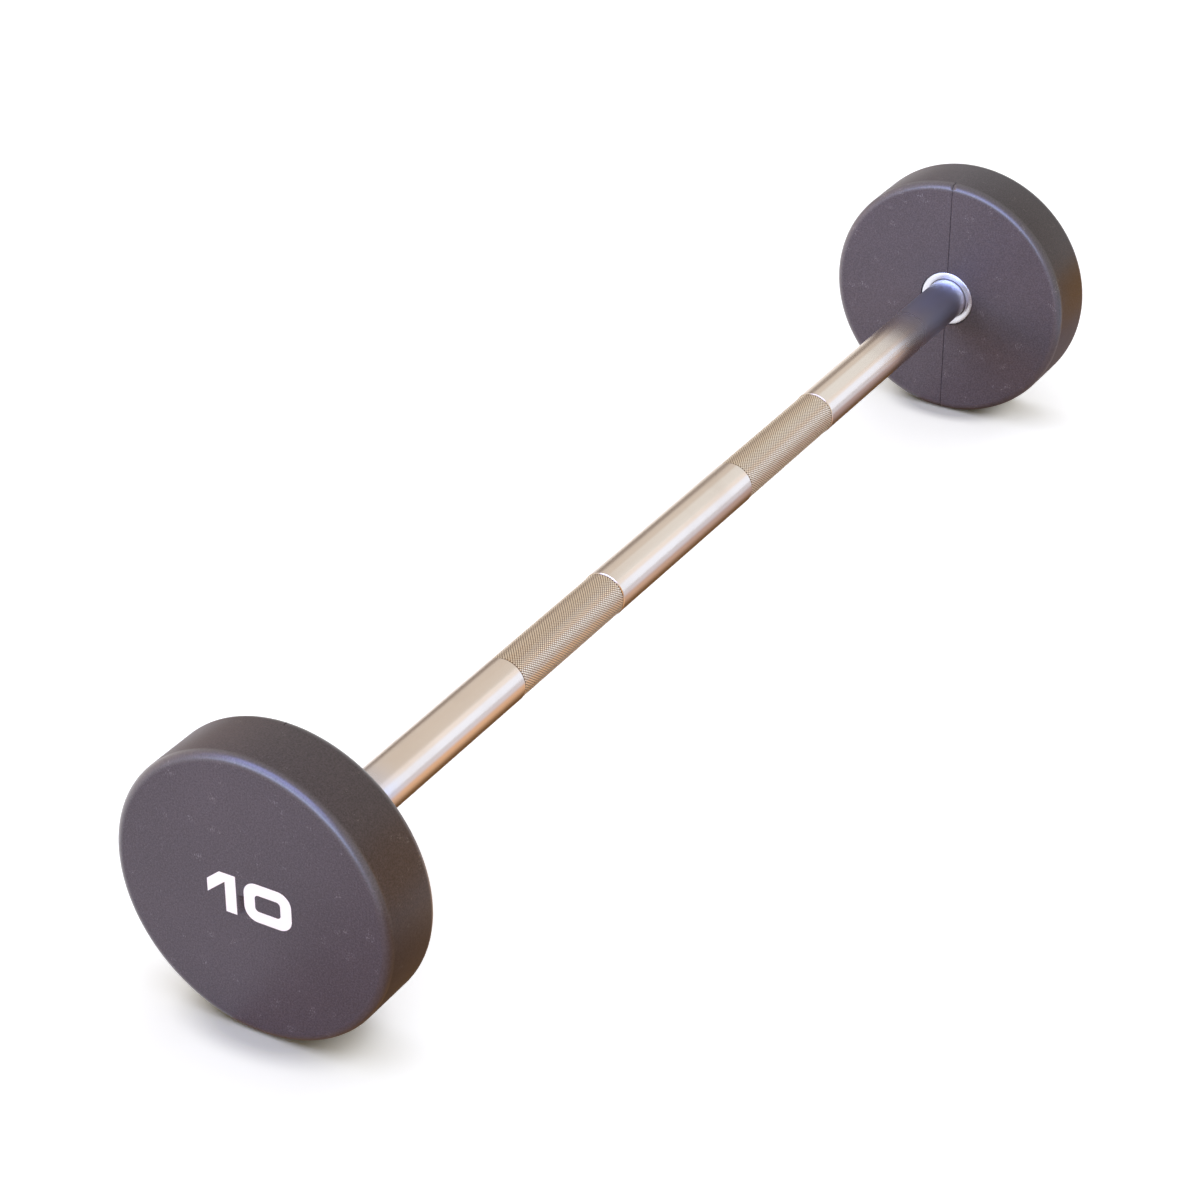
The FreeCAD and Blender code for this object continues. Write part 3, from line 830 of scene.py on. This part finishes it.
core_steel = Finish("core_steel", METAL)
core_along, core_across, core_up = core_steel.coordinates()
lathe_place = core_steel.node(
    "ShaderNodeCombineXYZ", {}, {0: hypotenuse(core_across, core_up), 1: core_along, 2: 0.0}
)
lathe_lines = core_steel.noise(LATHE_LINE_SIZE, 2, place=lathe_place)
stains = core_steel.fade(core_steel.noise(STAIN_SIZE, 4), 0.5, 0.72)
core_steel.set("Base Color", core_steel.blend(stains * 0.6, STEEL_CLEAN, STEEL_STAINED))
core_steel.set("Roughness", 0.34 + lathe_lines * 0.14 + stains * 0.1)
core_steel.relief(lathe_lines, LATHE_LINE_HEIGHT, 0.6)
core_steel.describe()

# %% Zinc plate
MOTTLE_SIZE = 2.5 * MM
ZINC_GRAIN_SIZE = 0.6 * MM
ZINC_GRAIN_HEIGHT = 0.01 * MM
ZINC_DULL = colour(0.57, 0.59, 0.63)
ZINC_BRIGHT = colour(0.70, 0.70, 0.69)

zinc = Finish("zinc_steel", METAL)
mottle = zinc.noise(MOTTLE_SIZE, 3)
zinc.set("Base Color", zinc.blend(zinc.fade(mottle, 0.4, 0.65), ZINC_DULL, ZINC_BRIGHT))
zinc.set("Roughness", 0.28 + mottle * 0.16)
zinc.relief(zinc.noise(ZINC_GRAIN_SIZE, 2), ZINC_GRAIN_HEIGHT, 0.5)
zinc.describe()

# %% Black bolt
OXIDE_PATCH_SIZE = 3 * MM
OXIDE_GRAIN_SIZE = 0.5 * MM
OXIDE_GRAIN_HEIGHT = 0.01 * MM
OXIDE_BLACK = colour(0.05, 0.05, 0.055)
OXIDE_THIN = colour(0.22, 0.21, 0.2)

black_oxide = Finish("dark_steel", {"Metallic": 0.6})
oxide_patch = black_oxide.noise(OXIDE_PATCH_SIZE, 4)
thin_oxide = black_oxide.fade(oxide_patch, 0.6, 0.78)
black_oxide.set("Base Color", black_oxide.blend(thin_oxide * 0.6, OXIDE_BLACK, OXIDE_THIN))
black_oxide.set("Roughness", 0.38 + oxide_patch * 0.14)
black_oxide.relief(black_oxide.noise(OXIDE_GRAIN_SIZE, 2), OXIDE_GRAIN_HEIGHT, 0.5)
black_oxide.describe()

# %% Dress the hidden pieces and the digits
SIDES = ("left", "right")
DRESS = {
    "core": core_steel,
    "key": core_steel,
    "washer": zinc,
    "lock_washer": zinc,
    "plug": zinc,
    "bolt": black_oxide,
    "digit_one": infill,
    "digit_zero": infill,
}
for side in SIDES:
    for node_name, finish in DRESS.items():
        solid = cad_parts[side + "_" + node_name]
        for material_slot in solid.material_slots:
            material_slot.material = finish.material
print("dressed:", ", ".join(DRESS))


# %% [markdown]
# The right head is modelled first. It is a moulding with rounded edges. A profile spun round
# the axis would do, but a cylinder with its two rims bevelled needs only one number for its
# edges. Insets then lay a narrow ring of faces just inside each rounded edge. Without it,
# smooth shading would bend the light across the whole flat face.

# %% Head sizes from the frame
collar_low, collar_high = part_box("right_collar")
core_low, core_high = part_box("right_core")
_, plug_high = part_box("right_plug")
HEAD_SIDES = 192
EDGE_STEPS = 8
SEAT_GAP = 0.2 * MM
SEAT_RADIUS = collar_high.z + SEAT_GAP
SEAT_DEPTH = core_low.x - HEAD_START
GUARD = 0.4 * MM
print("head radius %.1f mm, flat to %.1f mm" % (HEAD_RADIUS / MM, FLAT_RADIUS / MM))


# %% A rounded disc
def rounded_disc(name, start, end, radius, edge):
    """A disc round the X axis with both of its rims rounded."""
    disc = add_cylinder(name, HEAD_SIDES, radius, start, end)
    start_edit(disc)
    pick("EDGE", lambda rim: abs(rim.verts[0].co.x - rim.verts[1].co.x) < TINY)
    bpy.ops.mesh.bevel(offset=edge, segments=EDGE_STEPS, profile=0.5, affect="EDGES")
    end_edit()
    return disc


def inset_face(from_radius, to_radius):
    """Insets the round face that is selected to a smaller radius."""
    flat_share = math.cos(math.pi / HEAD_SIDES)
    bpy.ops.mesh.inset(thickness=(from_radius - to_radius) * flat_share, depth=0)


def pick_cap(direction):
    """Selects the round end face that looks one way along X."""
    pick("FACE", lambda face: (
        face.normal.x * direction > SQUARE_ON and len(face.verts) == HEAD_SIDES
    ))


head = rounded_disc("right_moulded_head", HEAD_START, HEAD_END, HEAD_RADIUS, EDGE_RADIUS)
start_edit(head)
pick_cap(1)
inset_face(FLAT_RADIUS, FLAT_RADIUS - GUARD)
pick_cap(-1)
inset_face(FLAT_RADIUS, FLAT_RADIUS - GUARD)
inset_face(FLAT_RADIUS - GUARD, SEAT_RADIUS + GUARD)
inset_face(SEAT_RADIUS + GUARD, SEAT_RADIUS)
end_edit()
report(head)

# %% [markdown]
# The inner face has a round seat that the steel ring sits in. Behind it the urethane is hollow,
# because it was moulded over a steel core. A Boolean could cut both, but pushing in the face in
# the middle keeps the faces even. It grows and shrinks between the pushes, and so lines the
# hollow with the core's shape.

# %% Seat and hollow for the core
PLATE_RADIUS = core_high.z
PLATE_THICKNESS = 16 * MM
PLATE_END = core_low.x + PLATE_THICKNESS
HUB_RADIUS = 27 * MM
start_edit(head)
pick_cap(-1)
extrude(SEAT_DEPTH)
extrude()
resize_round_axis(PLATE_RADIUS / SEAT_RADIUS)
extrude(PLATE_END - core_low.x)
extrude()
resize_round_axis(HUB_RADIUS / PLATE_RADIUS)
extrude(plug_high.x - PLATE_END)
end_edit()
report(head)

# %% [markdown]
# Six round posts of urethane run through holes in the core's plate, so that the casing can't
# turn on it. One post is made, and Spin copies it round the axis. The posts join the casing in
# one Boolean union, which also opens the walls between them.

# %% Posts through the core
POST_RADIUS = 6 * MM
POST_CIRCLE = (HUB_RADIUS + PLATE_RADIUS) / 2
POST_COUNT = 6
POST_SIDES = 32
POST_ROOT = 1 * MM
posts = add_cylinder("posts", POST_SIDES, POST_RADIUS, core_low.x - POST_ROOT, PLATE_END + POST_ROOT)
start_edit(posts)
bpy.ops.mesh.select_all(action="SELECT")
bpy.ops.transform.translate(value=(0, 0, POST_CIRCLE))
bpy.ops.mesh.spin(
    steps=POST_COUNT, dupli=True, angle=2 * math.pi, center=(0, 0, 0), axis=(1, 0, 0)
)
merge_doubles()
end_edit()
apply_modifier(head, "BOOLEAN", operation="UNION", solver="EXACT", object=posts)
bpy.data.objects.remove(posts)
report(head)

# %% [markdown]
# Where the two halves of the mould met, a thin line runs up the inner face and over its rounded
# edge. A material could draw it, but a real groove also shows in the plain mesh. It is of even
# depth, so its cutter hugs the surface: a thin upright slab, less a copy of the head that is
# smaller by the groove's depth all round.

# %% Mould line
SEAM_WIDTH = 0.6 * MM
SEAM_DEPTH = 0.5 * MM
SEAM_RUN = 1 * MM
SPARE = 1 * MM
slab_end = HEAD_START + EDGE_RADIUS + SEAM_RUN
slab_reach = HEAD_RADIUS + SPARE
seam_cutter = add_box(
    "seam_cutter",
    Vector((HEAD_START - SPARE, -SEAM_WIDTH / 2, -slab_reach)),
    Vector((slab_end, SEAM_WIDTH / 2, slab_reach)),
)
inner_disc = rounded_disc(
    "inner_disc", HEAD_START + SEAM_DEPTH, HEAD_END, HEAD_RADIUS - SEAM_DEPTH,
    EDGE_RADIUS - SEAM_DEPTH,
)
cut(seam_cutter, inner_disc)
cut(head, seam_cutter)
report(head)

# %% [markdown]
# The digits are separate pieces of white infill in shallow pockets. Each pocket is cut with a
# copy of its own digit, pulled out a little past the face, so that the two always fit.

# %% Number pockets
for digit in ("digit_one", "digit_zero"):
    make_active(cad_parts["right_" + digit])
    bpy.ops.object.duplicate()
    cutter = bpy.context.active_object
    start_edit(cutter)
    merge_doubles()
    pick("FACE", lambda face: face.normal.x > SQUARE_ON)
    bpy.ops.transform.translate(value=(SPARE, 0, 0))
    end_edit()
    cut(head, cutter)
tidy_mesh(head)
head.data.materials.append(urethane.material)
report(head)


# %% [markdown]
# The left head is the right one turned by half a turn about the upright axis, with a mesh of
# its own. A mirrored copy would show its number backwards. Turned like this, the number still
# reads the right way when seen from its own end.

# %% The other head
def turned_copy(piece, name):
    """A copy of a piece, turned by half a turn about Z."""
    make_active(piece)
    bpy.ops.object.duplicate()
    bpy.ops.transform.rotate(value=math.pi, orient_axis="Z", center_override=(0, 0, 0))
    return settle(name)


def fit(piece, slot, *nodes):
    """Makes a finished piece part of the barbell in place of these solids."""
    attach(piece, "root")
    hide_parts(*nodes)


other_head = turned_copy(head, "left_moulded_head")
report(other_head)
fit(head, "urethane", "right_casing")
fit(other_head, "urethane", "left_casing")

# %% [markdown]
# A steel ring closes the gap where the bar enters the head. Both end faces of a cylinder are
# inset and bridged, which makes the bore without a Boolean. A bevel then breaks its front
# edges, as a lathe tool would.

# %% Ring
RING_SIDES = 128
RING_RADIUS = collar_high.z
BORE_GAP = 0.05 * MM
RING_BORE = BAR_RADIUS + BORE_GAP
RING_BEVEL = 0.7 * MM
BORE_BEVEL = 0.25 * MM
ring = add_cylinder("right_turned_ring", RING_SIDES, RING_RADIUS, collar_low.x, collar_high.x)
start_edit(ring)
pick("FACE", lambda face: abs(face.normal.x) > SQUARE_ON)
bpy.ops.mesh.inset(thickness=(RING_RADIUS - RING_BORE) * math.cos(math.pi / RING_SIDES), depth=0)
bpy.ops.mesh.bridge_edge_loops()


def front_edge_at(radius):
    """A test for the edges of the ring's front face that lie at one radius."""
    def test(edge):
        places = [corner.co for corner in edge.verts]
        return all(
            abs(place.x - collar_low.x) < TINY and abs(place.yz.length - radius) < 10 * TINY
            for place in places
        )
    return test


pick("EDGE", front_edge_at(RING_RADIUS))
bpy.ops.mesh.bevel(offset=RING_BEVEL, segments=3, profile=0.5, affect="EDGES")
pick("EDGE", front_edge_at(RING_BORE))
bpy.ops.mesh.bevel(offset=BORE_BEVEL, segments=2, profile=0.5, affect="EDGES")
end_edit()
tidy_mesh(ring)
ring.data.materials.append(ring_metal.material)
report(ring)
other_ring = turned_copy(ring, "left_turned_ring")
fit(ring, "brushed_ring", "right_collar")
fit(other_ring, "brushed_ring", "left_collar")

# %% [markdown]
# The grips are knurled: a tool rolls two sets of grooves into the steel, one leaning each way,
# and what is left between them is thousands of small diamonds. Real diamonds catch the light as
# a painted pattern can't, so they are modelled. A tube is divided into cells as long and as wide
# as one diamond. Poke puts a corner in the middle of each cell, and dissolving the straight
# edges then leaves only the slanting ones: a net of diamonds. Inset raises each of them.

# %% Knurled grip
DIAMONDS_ROUND = 50
DIAMOND_LENGTH = 2.37 * MM
GRIP_START = 84 * MM
GRIP_END = 202 * MM
GRIP_BEVEL = 0.6 * MM
KNURL_START = GRIP_START + GRIP_BEVEL
KNURL_END = GRIP_END - GRIP_BEVEL
DIAMONDS_ALONG = round((KNURL_END - KNURL_START) / DIAMOND_LENGTH)
FLANK_WIDTH = 0.27 * MM


def is_boundary(edge):
    return len(edge.link_faces) == 1


def is_straight(edge):
    """Whether an edge runs along the bar or square to it."""
    run = edge.verts[1].co - edge.verts[0].co
    return abs(run.x) < TINY or run.yz.length < TINY


half_bar = add_cylinder(
    "knurled_bar", DIAMONDS_ROUND, VALLEY_RADIUS, KNURL_START, KNURL_END, "NOTHING"
)
start_edit(half_bar)
pick("EDGE", lambda edge: not is_boundary(edge))
bpy.ops.mesh.subdivide(number_cuts=DIAMONDS_ALONG - 1)
bpy.ops.mesh.select_all(action="SELECT")
chord_sag = VALLEY_RADIUS * (1 - math.cos(math.pi / DIAMONDS_ROUND))
bpy.ops.mesh.poke(offset=chord_sag)
pick("EDGE", lambda edge: is_straight(edge) and not is_boundary(edge))
bpy.ops.mesh.dissolve_edges(use_verts=False)
diamonds = pick("FACE", lambda face: len(face.verts) == 4)
bpy.ops.mesh.inset(thickness=FLANK_WIDTH, depth=KNURL_DEPTH, use_individual=True)
end_edit()
print("diamonds on one grip:", diamonds)
report(half_bar)

# %% [markdown]
# The rest of the bar is turned steel. Its hidden end is stepped down to a spigot, drilled for
# the bolt and cut with a keyway. The drilled hole is made like the step, by extruding the end
# face and resizing it. The keyway is cut while this length is still a closed shape, because a
# Boolean needs one.

# %% Outer length with its spigot
key_low, key_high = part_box("right_key")
SMOOTH_SIDES = 2 * DIAMONDS_ROUND
SHOULDER = core_low.x
SPIGOT_END = bar_high.x
SPIGOT_RADIUS = 11 * MM
SPIGOT_BEVEL = 1 * MM
HOLE_RADIUS = 6.02 * MM
HOLE_DEPTH = 33 * MM
HALF_DRILL_POINT = math.radians(59)
DRILL_TIP = HOLE_RADIUS / math.tan(HALF_DRILL_POINT)

outer = add_cylinder("outer_length", SMOOTH_SIDES, BAR_RADIUS, GRIP_END, SHOULDER)
start_edit(outer)
pick("FACE", lambda face: face.normal.x > SQUARE_ON)
extrude()
resize_round_axis(SPIGOT_RADIUS / BAR_RADIUS)
extrude(SPIGOT_END - SPIGOT_BEVEL - SHOULDER)
extrude(SPIGOT_BEVEL)
resize_round_axis((SPIGOT_RADIUS - SPIGOT_BEVEL) / SPIGOT_RADIUS)
extrude()
resize_round_axis(HOLE_RADIUS / (SPIGOT_RADIUS - SPIGOT_BEVEL))
extrude(-HOLE_DEPTH)
extrude(-DRILL_TIP)
bpy.ops.mesh.merge(type="CENTER")
end_edit()
keyway = add_box("keyway", key_low, Vector((key_high.x, key_high.y, key_high.z + SPARE)))
cut(outer, keyway)
report(outer)

# %% [markdown]
# The smooth middle, the knurled tube and the outer length become one mesh. Bridge Edge Loops
# joins their open rims, and so makes the short slopes at the ends of the grip. A Mirror
# modifier adds the other half, and the doubles on the middle plane are merged.

# %% Join the bar
middle = add_cylinder("middle_length", SMOOTH_SIDES, BAR_RADIUS, 0, GRIP_START, "NOTHING")
start_edit(outer)
pick("FACE", lambda face: (
    face.normal.x < -SQUARE_ON and abs(face.calc_center_median().x - GRIP_END) < TINY
))
bpy.ops.mesh.delete(type="ONLY_FACE")
end_edit()
make_active(half_bar, middle, outer)
bpy.ops.object.join()
for low_place, high_place in ((GRIP_START, KNURL_START), (KNURL_END, GRIP_END)):
    start_edit(half_bar)
    pick("EDGE", lambda edge: is_boundary(edge) and all(
        low_place - TINY < corner.co.x < high_place + TINY for corner in edge.verts
    ))
    bpy.ops.mesh.bridge_edge_loops()
    end_edit()
apply_modifier(half_bar, "MIRROR", use_mirror_merge=True, merge_threshold=TINY)
tidy_mesh(half_bar)
half_bar.data.materials.append(chrome.material)
fit(half_bar, "satin_chrome", "bar")
report(half_bar)

# %% [markdown]
# Now that the pieces exist, they are linked to the lamps. The bar is left out of the lamps for
# both heads and gets its own. The far head and its number get two lamps more, and the near head
# gets one for its inner face.

# %% Lamps for the pieces
for far_piece in (head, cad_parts["right_digit_one"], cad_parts["right_digit_zero"]):
    lit_by["far_head"].objects.link(far_piece)
lit_by["near_head"].objects.link(other_head)
lit_by["bar"].objects.link(half_bar)
leave_out("heads", half_bar)
